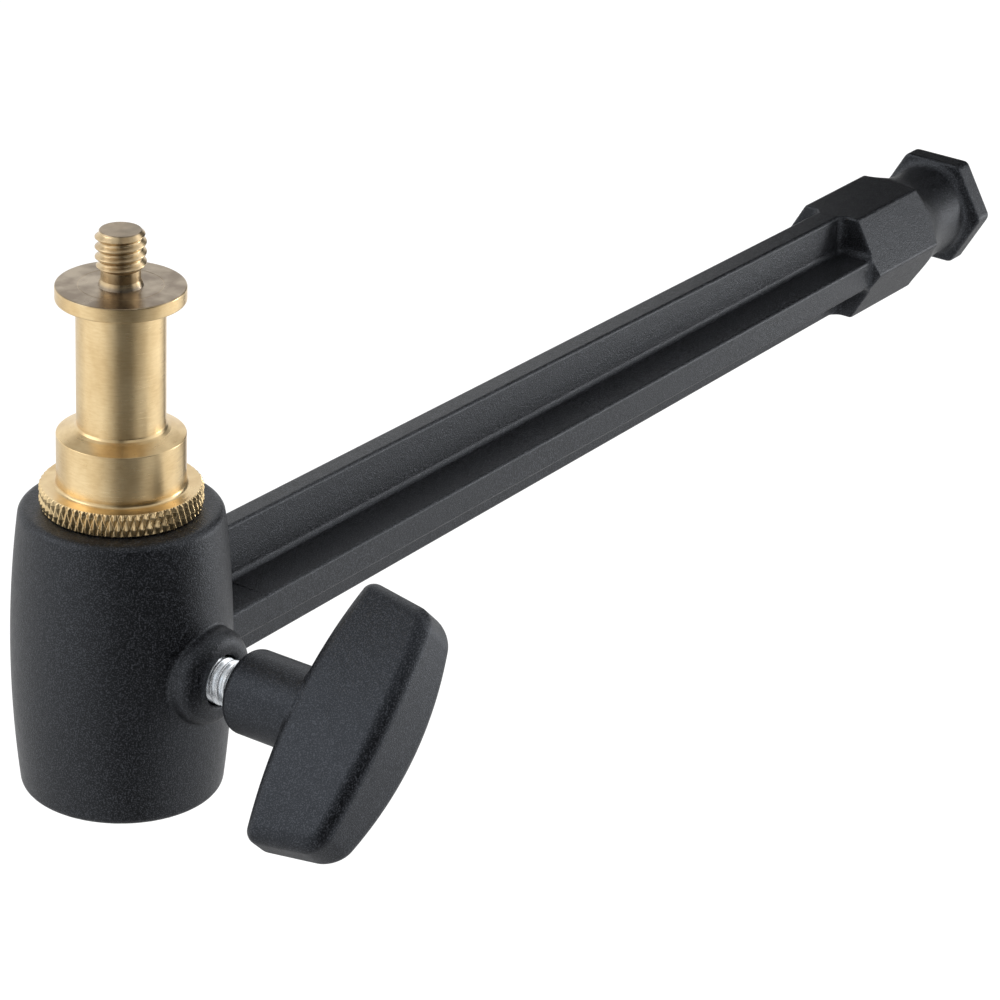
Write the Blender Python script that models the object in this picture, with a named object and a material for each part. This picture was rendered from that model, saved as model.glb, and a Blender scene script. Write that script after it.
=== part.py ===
"""Grip extension arm: a cast arm with a 16 mm socket at one end and a 16 mm hexagonal pin at the other.

The socket holds a turned brass spigot with a knurled ring, a flange and a threaded stud. A wing knob on
a zinc screw presses a small brass pad into the spigot's groove. The frame is the pin's: its end face
lies at x = 0 and faces +X, the arm runs towards -X, +Z is up and the knob points to -Y. All lengths are
in metres.
"""

import math

import bpy
import numpy as np

# Arm casting
ARM_REACH = 0.2030  # pin's end face to the socket's axis
SOCKET_HEIGHT = 0.0382
SOCKET_MID_RADIUS = 0.0139
SOCKET_END_RADIUS = 0.0127
SOCKET_ROUND = 0.0010
BORE_RADIUS = 0.00815
BORE_CHAMFER = 0.0006
BOSS_RADIUS = 0.0063
BOSS_REACH = 0.0163  # socket's axis to the boss's face
BOSS_ROUND = 0.0015
BOSS_FILLET = 0.0011
FIN_ROOT_HEIGHT = 0.0195  # upright fin, edge to edge, at the socket's axis
FIN_TIP_STEP = 0.00005  # upright fin's edges below the pin's flats
FIN_ROOT_THICK = 0.0030
FIN_TIP_THICK = 0.0037
LEDGE_ROOT_WIDTH = 0.0167  # level fin, edge to edge, at the socket's axis
LEDGE_TIP_WIDTH = 0.0156
LEDGE_ROOT_THICK = 0.0042
LEDGE_TIP_THICK = 0.0046
FIN_EDGE_ROUND = 0.0005
FIN_INNER_FILLET = 0.0005
SHOULDER_FILLET = 0.0015

# Hexagonal pin
PIN_ACROSS_FLATS = 0.0163
PIN_BODY_LENGTH = 0.0179
PIN_WAIST_LENGTH = 0.0127
PIN_HEAD_LENGTH = 0.0039
PIN_WAIST_RADIUS = 0.0069
PIN_TAPER_LENGTH = 0.0100  # from the body's corners down to the waist, a quarter of an ellipse
PIN_HEAD_FILLET = 0.0013
PIN_CORNER_ROUND = 0.0004
PIN_SHOULDER_ROUND = 0.00035
PIN_HEAD_ROUND = 0.0007

# Spigot
SPIGOT_SEAT_GAP = 0.0003
SPIGOT_FIT = 0.00025  # shank to bore
SHANK_LENGTH = 0.0320
SHANK_CHAMFER = 0.0008
GROOVE_DEPTH = 0.0010
GROOVE_HEIGHT = 0.0075
RING_RADIUS = 0.0102  # over the knurl's points
RING_HEIGHT = 0.0029
KNURL_DEPTH = 0.0004
KNURL_TEETH = 62
KNURL_FIRST_ROW = 0.00045  # below the ring's top
KNURL_ROW_STEP = 0.00137
KNURL_CHAMFER = 0.0003
COLLAR_RADIUS = 0.0080
COLLAR_HEIGHT = 0.0066
COLLAR_FOOT_ROUND = 0.0004
CONE_HEIGHT = 0.0011
NECK_RADIUS = 0.0055
NECK_HEIGHT = 0.01645
NECK_FILLET = 0.0004
FLANGE_RADIUS = 0.0080
FLANGE_THICK = 0.00185
FLANGE_CHAMFER = 0.00025
STUD_RADIUS = 0.003175
STUD_HEIGHT = 0.0071
STUD_CHAMFER = 0.00055
STUD_ROOT_ROUND = 0.0007
STUD_RELIEF_RADIUS = 0.00245
STUD_THREAD_START = 0.0025

# Clamping screw and knob
SCREW_RADIUS = 0.0030
SCREW_HOLE_GAP = 0.0003
SCREW_EMBEDDED = 0.0120  # screw inside the knob
SCREW_MOULD_GAP = 0.00003
PAD_GAP = 0.0003  # pad to groove, and pad to screw
PAD_THICK = 0.0020
PAD_RADIUS = 0.0030
PAD_CHAMFER = 0.0004
KNOB_SHANK_REACH = 0.0198  # socket's axis to the knob's near end
KNOB_SHANK_RADIUS = 0.00545
KNOB_SHANK_ROUND = 0.0012
BLADE_REACH = 0.0294  # socket's axis to the blade's near edge
BLADE_DEPTH = 0.0139
BLADE_NEAR_LENGTH = 0.0358
BLADE_FAR_LENGTH = 0.0318
BLADE_NEAR_BOW = 0.0010
BLADE_FAR_BOW = 0.0024
BLADE_MID_THICK = 0.0108
BLADE_END_THICK = 0.0063
BLADE_END_ROUND = 0.0020
BLADE_EDGE_ROUND = 0.0015
BLADE_LEAN = 43.5  # degrees that the blade leans from upright towards the arm

AROUND = 48
SHOULDER_X = -(PIN_BODY_LENGTH + PIN_WAIST_LENGTH + PIN_HEAD_LENGTH)
SOCKET_TOP = SOCKET_HEIGHT / 2
RING_FOOT = SOCKET_TOP + SPIGOT_SEAT_GAP
SHANK_RADIUS = BORE_RADIUS - SPIGOT_FIT
GROOVE_RADIUS = SHANK_RADIUS - GROOVE_DEPTH
PAD_REACH = GROOVE_RADIUS + PAD_GAP


def clear_scene():
    """Removes everything that the startup scene holds."""
    for item in list(bpy.data.objects):
        bpy.data.objects.remove(item, do_unlink=True)


def make_material(name, colour, metallic, roughness):
    """One plain Principled material."""
    material = bpy.data.materials.new(name)
    material.use_nodes = True
    shader = material.node_tree.nodes["Principled BSDF"]
    shader.inputs["Base Color"].default_value = (*colour, 1.0)
    shader.inputs["Metallic"].default_value = metallic
    shader.inputs["Roughness"].default_value = roughness
    material.diffuse_color = (*colour, 1.0)
    return material


def add_mesh(name, points, faces):
    """A mesh object at the world origin."""
    mesh = bpy.data.meshes.new(name)
    mesh.from_pydata([tuple(float(value) for value in point) for point in points], [], faces)
    mesh.update()
    item = bpy.data.objects.new(name, mesh)
    bpy.context.scene.collection.objects.link(item)
    return item


def bridge(first, second, offset_first, offset_second):
    """Faces between two closed rings, where the second may have as many points or half as many."""
    faces = []
    step = first // second
    for index in range(second):
        start = offset_first + index * step
        low = [offset_first + (index * step + turn) % first for turn in range(step + 1)]
        high = [offset_second + index, offset_second + (index + 1) % second]
        if step == 1:
            faces.append((low[0], low[1], high[1], high[0]))
        else:
            faces += [(start, low[1], high[0]), (low[1], low[2], high[1]), (low[1], high[1], high[0])]
    return faces


def loft(name, rings):
    """A closed body through rings of equal length, each a list of (x, y, z), capped at both ends."""
    count = len(rings[0])
    points = np.concatenate([np.asarray(ring, float) for ring in rings])
    faces = [tuple(reversed(range(count)))]
    for index in range(len(rings) - 1):
        faces += bridge(count, count, index * count, (index + 1) * count)
    last = (len(rings) - 1) * count
    faces.append(tuple(range(last, last + count)))
    return add_mesh(name, points, faces)


def arc(centre, radius, start, end, steps):
    """Points (u, v) on an arc, angles in degrees."""
    angles = np.radians(np.linspace(start, end, steps + 1))
    return [(centre[0] + radius * math.cos(a), centre[1] + radius * math.sin(a)) for a in angles]


def circle_rings(profile, place, steps=AROUND):
    """One ring a profile point (radius, height), put in the world by place(across, up, height)."""
    angles = np.linspace(0, 2 * math.pi, steps, endpoint=False)
    rings = []
    for radius, height in profile:
        rings.append([place(radius * math.cos(a), radius * math.sin(a), height) for a in angles])
    return rings


def on_socket_axis(across, up, height):
    """Across and up lie in the level plane, height along +Z from the arm's axis."""
    return (across - ARM_REACH, up, height)


def on_screw_axis(across, up, height):
    """Height runs along -Y from the socket's axis."""
    return (across - ARM_REACH, -height, up)


def on_arm_axis(across, up, height):
    """Height runs along +X from the pin's end face."""
    return (height, across, up)


def combine(target, other, operation):
    """Bakes one exact Boolean into the target and removes the other object."""
    modifier = target.modifiers.new("combine", "BOOLEAN")
    modifier.operation = operation
    modifier.solver = "EXACT"
    modifier.object = other
    bpy.context.view_layer.update()
    graph = bpy.context.evaluated_depsgraph_get()
    result = bpy.data.meshes.new_from_object(target.evaluated_get(graph))
    target.modifiers.clear()
    old = target.data
    target.data = result
    bpy.data.meshes.remove(old)
    bpy.data.objects.remove(other, do_unlink=True)


def finish(item, material, origin):
    """Gives the piece its material, smooth rounds and an origin on its joint's axis."""
    mesh = item.data
    mesh.materials.clear()
    mesh.materials.append(material)
    for face in mesh.polygons:
        face.material_index = 0
        face.use_smooth = True
    mesh.set_sharp_from_angle(angle=math.radians(28))
    shift = np.array(origin, float)
    points = np.empty(len(mesh.vertices) * 3)
    mesh.vertices.foreach_get("co", points)
    mesh.vertices.foreach_set("co", (points.reshape(-1, 3) - shift).ravel())
    item.location = origin
    mesh.update()


def barrel_radius(height):
    """The bowed outline of the socket's barrel at a height from its middle."""
    bow = SOCKET_MID_RADIUS - SOCKET_END_RADIUS
    return SOCKET_MID_RADIUS - bow * (height / (SOCKET_HEIGHT / 2)) ** 2


def make_barrel():
    """The socket's barrel, solid, with its bowed side and rounded rims."""
    end = SOCKET_TOP - SOCKET_ROUND
    rim = barrel_radius(end) - SOCKET_ROUND
    side = [(barrel_radius(h), h) for h in np.linspace(-end, end, 11)]
    low = arc((rim, -end), SOCKET_ROUND, -90, 0, 3)
    high = arc((rim, end), SOCKET_ROUND, 0, 90, 3)
    profile = low + side[1:-1] + high
    return loft("barrel", circle_rings(profile, on_socket_axis))


def make_boss():
    """The boss for the screw, with a rounded rim and a fillet that follows the bowed barrel."""
    angles = np.linspace(0, 2 * math.pi, AROUND, endpoint=False)

    def barrel_face(radius):
        up = radius * np.sin(angles)
        return np.sqrt(barrel_radius(up) ** 2 - (radius * np.cos(angles)) ** 2)

    def ring(radius, reach):
        reach = np.broadcast_to(reach, angles.shape)
        across = radius * np.cos(angles)
        up = radius * np.sin(angles)
        return [on_screw_axis(a, u, r) for a, u, r in zip(across, up, reach)]

    corner = barrel_face(BOSS_RADIUS)
    outer = barrel_face(BOSS_RADIUS + BOSS_FILLET)
    sunk = SOCKET_ROUND / 20
    rings = [ring(BOSS_RADIUS, BORE_RADIUS / 2), ring(BOSS_RADIUS + BOSS_FILLET, outer - SOCKET_ROUND)]
    for part in np.linspace(1, 0, 5):
        radius = BOSS_RADIUS + BOSS_FILLET * part**2
        reach = (1 - part) ** 2 * (corner + BOSS_FILLET) + 2 * part * (1 - part) * corner
        rings.append(ring(radius, reach + part**2 * outer - sunk * part))
    rim = arc((BOSS_RADIUS - BOSS_ROUND, BOSS_REACH - BOSS_ROUND), BOSS_ROUND, 0, 90, 4)
    rings += [ring(radius, reach) for radius, reach in rim]
    return loft("boss", rings)


def cross_outline(height, width, fin, ledge, fillet):
    """A cross of an upright fin and a level fin, with rounded edges and inner fillets, as (y, z) points."""
    edge = FIN_EDGE_ROUND
    quarter = arc((width / 2 - edge, ledge / 2 - edge), edge, 0, 90, 3)
    quarter += arc((fin / 2 + fillet, ledge / 2 + fillet), fillet, 270, 180, 2)
    quarter += arc((fin / 2 - edge, height / 2 - edge), edge, 0, 90, 3)
    mirrored = [(-y, z) for y, z in reversed(quarter)]
    upper = quarter + mirrored
    return upper + [(-y, -z) for y, z in upper]


def fin_size(x):
    """Height, width and the two thicknesses of the fins at x, which taper evenly from socket to pin."""
    part = (x + ARM_REACH) / (SHOULDER_X + ARM_REACH)
    tip_height = PIN_ACROSS_FLATS - 2 * FIN_TIP_STEP
    root = np.array([FIN_ROOT_HEIGHT, LEDGE_ROOT_WIDTH, FIN_ROOT_THICK, LEDGE_ROOT_THICK])
    tip = np.array([tip_height, LEDGE_TIP_WIDTH, FIN_TIP_THICK, LEDGE_TIP_THICK])
    return root + (tip - root) * part


def make_fins():
    """The arm's cross-shaped length between the socket and the pin's shoulder."""
    start = -ARM_REACH + BORE_RADIUS + SPIGOT_FIT
    rings = []
    for x in np.linspace(start, SHOULDER_X, 5):
        outline = cross_outline(*fin_size(x), FIN_INNER_FILLET)
        rings.append([(x, y, z) for y, z in outline])
    rings.append([(SHOULDER_X + PIN_BODY_LENGTH / 4, y, z) for _, y, z in rings[-1]])
    return loft("fins", rings)


def make_shoulder_fillet():
    """The fins' flare into the pin's shoulder, kept inside the pin's hexagon."""
    rings = []
    for angle in np.radians(np.linspace(0, 84, 6)):
        x = SHOULDER_X - SHOULDER_FILLET * (1 - math.sin(angle))
        grow = 2 * SHOULDER_FILLET * (1 - math.cos(angle)) - FIN_TIP_STEP
        height, width, fin, ledge = fin_size(x)
        height -= FIN_TIP_STEP
        width -= FIN_TIP_STEP
        outline = cross_outline(height, width, fin + grow, ledge + grow, FIN_INNER_FILLET + FIN_TIP_STEP + grow / 4)
        rings.append([(x, y, z) for y, z in outline])
    rings.append([(SHOULDER_X + SHOULDER_FILLET, y, z) for _, y, z in rings[-1]])
    flare = loft("flare", rings)
    limit = PIN_ACROSS_FLATS / 2 - FIN_TIP_STEP / 2
    ends = (SHOULDER_X - 2 * SHOULDER_FILLET, SHOULDER_X + 2 * SHOULDER_FILLET)
    bound = loft("bound", [hexagon(x, limit) for x in ends])
    combine(flare, bound, "INTERSECT")
    return flare


def hexagon(x, apothem):
    """A hexagon's ring at x, flats up and down, with its six long edges rounded."""
    corner = 2 / math.sqrt(3)
    ring = []
    for index in range(6):
        heading = math.radians(60 * index)
        centre = (apothem - PIN_CORNER_ROUND) * corner
        for turn in np.radians((-30, 0, 30)):
            across = centre * math.cos(heading) + PIN_CORNER_ROUND * math.cos(heading + turn)
            up = centre * math.sin(heading) + PIN_CORNER_ROUND * math.sin(heading + turn)
            ring.append(on_arm_axis(across, up, x))
    return ring


def make_pin():
    """The pin: a hexagonal bar with rounded ends, its waist turned away."""
    half = PIN_ACROSS_FLATS / 2
    rings = []
    for angle in np.radians((0, 45, 90)):
        inset = PIN_SHOULDER_ROUND * (1 - math.sin(angle))
        rings.append(hexagon(SHOULDER_X + PIN_SHOULDER_ROUND * (1 - math.cos(angle)), half - inset))
    for angle in np.radians((90, 67.5, 45, 22.5, 0)):
        inset = PIN_HEAD_ROUND * (1 - math.sin(angle))
        rings.append(hexagon(-PIN_HEAD_ROUND * (1 - math.cos(angle)), half - inset))
    pin = loft("pin", rings)
    clear = PIN_ACROSS_FLATS * 0.7
    corner = PIN_ACROSS_FLATS / math.sqrt(3)
    start = SHOULDER_X + PIN_BODY_LENGTH
    head = -PIN_HEAD_LENGTH
    profile = [(clear, SHOULDER_X - PIN_HEAD_LENGTH), (clear, start - PIN_HEAD_FILLET)]
    for turn in np.radians(np.linspace(0, 90, 8)):
        fall = (corner - PIN_WAIST_RADIUS) * math.sin(turn)
        profile.append((corner - fall, start + PIN_TAPER_LENGTH * (1 - math.cos(turn))))
    profile += arc((PIN_WAIST_RADIUS + PIN_HEAD_FILLET, head - PIN_HEAD_FILLET), PIN_HEAD_FILLET, 180, 90, 4)
    profile += [(clear, head), (clear, PIN_HEAD_LENGTH)]
    combine(pin, loft("turning", circle_rings(profile, on_arm_axis)), "INTERSECT")
    return pin


def make_bore_cutter():
    """The socket's through bore with its chamfered mouths."""
    mouth = BORE_RADIUS + BORE_CHAMFER
    over = SOCKET_TOP + BORE_CHAMFER
    edge = SOCKET_TOP - BORE_CHAMFER
    profile = [(mouth + BORE_CHAMFER, -over), (BORE_RADIUS, -edge)]
    profile += [(BORE_RADIUS, edge), (mouth + BORE_CHAMFER, over)]
    return loft("bore", circle_rings(profile, on_socket_axis))


def make_screw_hole():
    """The clearance hole for the screw, from the bore out through the boss."""
    radius = SCREW_RADIUS + SCREW_HOLE_GAP
    profile = [(radius, 0.0), (radius, BOSS_REACH + BOSS_ROUND)]
    rings = circle_rings(profile, on_screw_axis, AROUND // 2)
    return loft("hole", rings)


def make_casting(material):
    """The arm, one casting: socket, boss, crossed fins and hexagonal pin."""
    casting = make_barrel()
    casting.name = "arm_casting"
    for piece in (make_boss(), make_fins(), make_pin(), make_shoulder_fillet()):
        combine(casting, piece, "UNION")
    combine(casting, make_bore_cutter(), "DIFFERENCE")
    combine(casting, make_screw_hole(), "DIFFERENCE")
    finish(casting, material, (0.0, 0.0, 0.0))


def knurl_rows():
    """Rows of (heights, radii) round the ring: points and valleys take turns, and each row is turned by one."""
    top = RING_FOOT + RING_HEIGHT
    valley = RING_RADIUS - KNURL_DEPTH
    count = KNURL_TEETH * 2
    even = np.arange(count) % 2 == 0
    rows = []
    foot_part = (RING_HEIGHT - KNURL_CHAMFER - KNURL_FIRST_ROW) / KNURL_ROW_STEP - 1
    foot = np.where(even, RING_RADIUS - KNURL_DEPTH * (1 - foot_part), RING_RADIUS - KNURL_DEPTH * foot_part)
    rows.append((RING_FOOT + KNURL_CHAMFER, foot))
    rows.append((top - KNURL_FIRST_ROW - KNURL_ROW_STEP, np.where(even, valley, RING_RADIUS)))
    rows.append((top - KNURL_FIRST_ROW, np.where(even, RING_RADIUS, valley)))
    return rows


def spigot_profiles():
    """The turned outline as (radius, height), first below the knurl and then above it."""
    foot = RING_FOOT - SHANK_LENGTH
    half = GROOVE_HEIGHT / 2
    valley = RING_RADIUS - KNURL_DEPTH
    below = [(SHANK_RADIUS - SHANK_CHAMFER, foot), (SHANK_RADIUS, foot + SHANK_CHAMFER)]
    below += [(SHANK_RADIUS, -half), (GROOVE_RADIUS, GROOVE_DEPTH - half)]
    below += [(GROOVE_RADIUS, half - GROOVE_DEPTH), (SHANK_RADIUS, half)]
    below += [(SHANK_RADIUS, RING_FOOT), (valley - KNURL_CHAMFER, RING_FOOT)]
    ring_top = RING_FOOT + RING_HEIGHT
    collar_top = ring_top + COLLAR_HEIGHT
    neck_foot = collar_top + CONE_HEIGHT
    flange_foot = neck_foot + NECK_HEIGHT
    flange_top = flange_foot + FLANGE_THICK
    above = [(valley - KNURL_CHAMFER / 2, ring_top)]
    bead = COLLAR_FOOT_ROUND
    above += arc((COLLAR_RADIUS + bead, ring_top + bead), bead, 270, 180, 2)
    above += [(COLLAR_RADIUS, collar_top - FLANGE_CHAMFER / 2), (COLLAR_RADIUS - FLANGE_CHAMFER / 2, collar_top)]
    above += arc((NECK_RADIUS + NECK_FILLET, neck_foot + NECK_FILLET / 2), NECK_FILLET, 225, 180, 2)
    above += arc((NECK_RADIUS + NECK_FILLET, flange_foot - NECK_FILLET), NECK_FILLET, 180, 90, 3)
    above += [(FLANGE_RADIUS - FLANGE_CHAMFER, flange_foot), (FLANGE_RADIUS, flange_foot + FLANGE_CHAMFER)]
    above += [(FLANGE_RADIUS, flange_top - FLANGE_CHAMFER), (FLANGE_RADIUS - FLANGE_CHAMFER, flange_top)]
    root = STUD_ROOT_ROUND
    above += arc((STUD_RELIEF_RADIUS + root, flange_top + root), root, 270, 180, 3)
    thread = flange_top + STUD_THREAD_START
    stud_top = flange_top + STUD_HEIGHT
    step = STUD_RADIUS - STUD_RELIEF_RADIUS
    above += [(STUD_RELIEF_RADIUS, thread - step), (STUD_RADIUS, thread)]
    above += [(STUD_RADIUS, stud_top - STUD_CHAMFER), (STUD_RADIUS - STUD_CHAMFER, stud_top)]
    return below, above


def make_spigot(material):
    """The spigot, turned in one piece: shank with groove, knurled ring, collar, neck, flange and stud."""
    below, above = spigot_profiles()
    points = []
    starts = []

    def add(ring):
        starts.append((len(points), len(ring)))
        points.extend(ring)

    for ring in circle_rings(below, on_socket_axis, KNURL_TEETH):
        add(ring)
    angles = np.linspace(0, 2 * math.pi, KNURL_TEETH * 2, endpoint=False)
    for height, radii in knurl_rows():
        add([on_socket_axis(r * math.cos(a), r * math.sin(a), height) for r, a in zip(radii, angles)])
    for ring in circle_rings(above, on_socket_axis, KNURL_TEETH):
        add(ring)
    faces = [tuple(reversed(range(KNURL_TEETH)))]
    for (low, low_count), (high, high_count) in zip(starts, starts[1:]):
        if low_count == high_count == KNURL_TEETH:
            faces += bridge(low_count, high_count, low, high)
        elif low_count == high_count:
            faces += knurl_faces(low, high, low_count)
        elif low_count > high_count:
            faces += bridge(low_count, high_count, low, high)
        else:
            faces += [tuple(reversed(face)) for face in bridge(high_count, low_count, high, low)]
    last = starts[-1][0]
    faces.append(tuple(range(last, last + KNURL_TEETH)))
    spigot = add_mesh("spigot", points, faces)
    finish(spigot, material, (-ARM_REACH, 0.0, 0.0))


def knurl_faces(low, high, count):
    """Triangles between two knurl rows, split along the grooves."""
    faces = []
    row_above_is_first = (low // count + 1) % 2
    for index in range(count):
        after = (index + 1) % count
        corners = (low + index, low + after, high + after, high + index)
        if (index + row_above_is_first) % 2:
            faces += [(corners[0], corners[1], corners[2]), (corners[0], corners[2], corners[3])]
        else:
            faces += [(corners[0], corners[1], corners[3]), (corners[1], corners[2], corners[3])]
    return faces


def blade_ring(part, inset_ends, inset_edges):
    """One rounded rectangle across the blade at a share of its half length, as (along, out, thick)."""
    bow_part = part**2
    near = BLADE_REACH + BLADE_NEAR_BOW * bow_part + inset_ends
    far = BLADE_REACH + BLADE_DEPTH - BLADE_FAR_BOW * bow_part - inset_ends
    thick = BLADE_MID_THICK / 2 - (BLADE_MID_THICK - BLADE_END_THICK) / 2 * bow_part - inset_edges
    edge = min(BLADE_EDGE_ROUND, thick / 2)
    outline = arc((far - edge, thick - edge), edge, 0, 90, 3)
    outline += arc((near + edge, thick - edge), edge, 90, 180, 3)
    outline += arc((near + edge, edge - thick), edge, 180, 270, 3)
    outline += arc((far - edge, edge - thick), edge, 270, 360, 3)
    return outline


def make_blade():
    """The knob's lens-shaped wing, lofted along its length from slanted, rounded end to end."""
    lean = math.radians(BLADE_LEAN)
    rings = []
    rounding = np.radians(np.linspace(0, 90, 5))
    sides = [(1.0, a) for a in rounding] + [(p, math.pi / 2) for p in np.linspace(0.84, 0, 6)]
    stations = [(-p, a) for p, a in sides] + [(p, a) for p, a in reversed(sides[:-1])]
    for part, angle in stations:
        pull = BLADE_END_ROUND * (1 - math.sin(angle))
        edge_pull = BLADE_EDGE_ROUND * (1 - math.sin(angle))
        back = BLADE_END_ROUND * (1 - math.cos(angle)) if abs(part) == 1.0 else 0.0
        ring = []
        for out, thick in blade_ring(part, pull, edge_pull):
            slant = (out - BLADE_REACH) / BLADE_DEPTH
            half = (BLADE_NEAR_LENGTH + (BLADE_FAR_LENGTH - BLADE_NEAR_LENGTH) * slant) / 2
            along = math.copysign(abs(part) * half - back, part)
            across = along * math.sin(lean) + thick * math.cos(lean)
            up = along * math.cos(lean) - thick * math.sin(lean)
            ring.append(on_screw_axis(across, up, out))
        rings.append(ring)
    return loft("blade", rings)


def make_knob(material):
    """The wing knob, one moulding: shank, blade and the blind hole that holds the screw."""
    near = KNOB_SHANK_REACH
    profile = arc((KNOB_SHANK_RADIUS - KNOB_SHANK_ROUND, near + KNOB_SHANK_ROUND), KNOB_SHANK_ROUND, -90, 0, 4)
    profile.append((KNOB_SHANK_RADIUS, BLADE_REACH + BLADE_NEAR_BOW))
    profile.append((KNOB_SHANK_RADIUS - BLADE_EDGE_ROUND, BLADE_REACH + BLADE_DEPTH / 2))
    rings = circle_rings(profile, on_screw_axis, AROUND * 2 // 3)
    knob = loft("knob_handle", rings)
    combine(knob, make_blade(), "UNION")
    radius = SCREW_RADIUS + SCREW_MOULD_GAP
    hole = [(radius, near - KNOB_SHANK_ROUND), (radius, near + SCREW_EMBEDDED + PAD_GAP)]
    rings = circle_rings(hole, on_screw_axis, AROUND // 2)
    combine(knob, loft("socket", rings), "DIFFERENCE")
    finish(knob, material, (-ARM_REACH, -near, 0.0))


def make_screw(material):
    """The zinc screw from just behind the pad into the knob."""
    start = PAD_REACH + PAD_THICK + PAD_GAP
    end = KNOB_SHANK_REACH + SCREW_EMBEDDED
    profile = [(SCREW_RADIUS - PAD_CHAMFER, start), (SCREW_RADIUS, start + PAD_CHAMFER), (SCREW_RADIUS, end)]
    rings = circle_rings(profile, on_screw_axis, AROUND // 2)
    screw = loft("knob_screw", rings)
    finish(screw, material, (-ARM_REACH, -start, 0.0))


def make_pad(material):
    """The small brass pad that the screw presses into the spigot's groove."""
    tip = PAD_RADIUS - 2 * PAD_CHAMFER
    profile = [(tip, PAD_REACH), (PAD_RADIUS, PAD_REACH + 2 * PAD_CHAMFER)]
    profile.append((PAD_RADIUS, PAD_REACH + PAD_THICK))
    rings = circle_rings(profile, on_screw_axis, AROUND // 2)
    pad = loft("pressure_pad", rings)
    finish(pad, material, (-ARM_REACH, -PAD_REACH, 0.0))


def main():
    """Builds every piece."""
    clear_scene()
    make_casting(make_material("black_powder_coat", (0.022, 0.023, 0.026), 0.0, 0.55))
    make_spigot(make_material("turned_brass", (0.72, 0.50, 0.20), 1.0, 0.28))
    make_knob(make_material("black_nylon", (0.020, 0.021, 0.023), 0.0, 0.6))
    make_screw(make_material("bright_zinc", (0.72, 0.74, 0.76), 1.0, 0.25))
    make_pad(make_material("pad_brass", (0.66, 0.46, 0.19), 1.0, 0.4))


main()
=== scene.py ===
"""Looks of the grip extension arm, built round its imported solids.

The arm casting, the brass spigot, the wing knob and its screw each get a finer visual body with
the fillets, knurl and threads of the real one, procedural materials, soft studio light and the
photograph's camera. Lengths on the part are in millimetres, and are turned to metres when a mesh
is made. Those of the grain, the lamps, the floor and the veils are in metres. The frame is the
part's: the pin's end face is at x = 0, the arm runs to -X, +Z is up and the knob points to -Y.
"""

from __future__ import annotations

import logging
import math
from dataclasses import dataclass, field
from enum import Enum
from typing import Callable

import bpy
import numpy as np
from mathutils import Matrix, Vector
from numpy.typing import NDArray

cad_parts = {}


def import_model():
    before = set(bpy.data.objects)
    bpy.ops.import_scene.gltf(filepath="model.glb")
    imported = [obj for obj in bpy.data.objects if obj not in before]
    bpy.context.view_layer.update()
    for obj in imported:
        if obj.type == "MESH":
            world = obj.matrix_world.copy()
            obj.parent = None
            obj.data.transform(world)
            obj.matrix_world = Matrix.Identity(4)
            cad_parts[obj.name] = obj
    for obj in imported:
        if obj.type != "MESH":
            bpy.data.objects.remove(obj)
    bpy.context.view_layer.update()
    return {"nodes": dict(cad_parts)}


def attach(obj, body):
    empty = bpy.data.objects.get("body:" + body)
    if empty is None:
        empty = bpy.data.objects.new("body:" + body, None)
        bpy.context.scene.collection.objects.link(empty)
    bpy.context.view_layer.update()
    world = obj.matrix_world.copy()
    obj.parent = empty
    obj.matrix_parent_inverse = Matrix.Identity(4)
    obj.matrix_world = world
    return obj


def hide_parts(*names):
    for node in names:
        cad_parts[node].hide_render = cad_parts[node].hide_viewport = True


LOG = logging.getLogger("extension_arm")
Array = NDArray[np.float64]
Field = Callable[[Array, Array, Array], Array]  # signed distance at x, y, z, negative inside
Index = NDArray[np.int64]
Triple = tuple[float, float, float]
Turned = tuple[Array, Array, Array]
Span = tuple[float, float]
Item, Material = bpy.types.Object, bpy.types.Material
Node, Socket, Tree = bpy.types.Node, bpy.types.NodeSocket, bpy.types.NodeTree
Value = float | tuple[float, ...] | Socket
Inputs = dict[str | int, Value]
MM = 0.001
SOCKET_X = -203.0  # the axis of the socket, the spigot and the knob's screw
SHOULDER_X = -34.5  # where the fins end in the pin


class Slot(Enum):
    """The record's material slots, one listed with each visual body."""

    COAT = "powder_coat"
    BRASS = "brass"
    NYLON = "nylon"
    ZINC = "zinc"


def round_meet(a: Array, b: Array, radius: float) -> Array:
    """Distance to what lies inside both bodies, with the edge between them rounded.

    Args:
        a: Signed distance to the first body, negative inside.
        b: Signed distance to the second body.
        radius: Radius of the round along the edge.

    Returns:
        Signed distance to the common part.
    """
    corner = np.hypot(np.maximum(a + radius, 0), np.maximum(b + radius, 0))
    return np.minimum(-radius, np.maximum(a, b)) + corner


def round_join(a: Array, b: Array, radius: float) -> Array:
    """Distance to two bodies together, with a fillet of a radius in the corner between them."""
    return -round_meet(-a, -b, radius)


def ramp(value: Array, start: Array | float, end: Array | float) -> Array:
    """Rises evenly from 0 at start to 1 at end."""
    return np.clip((value - start) / (end - start), 0, 1)


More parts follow.
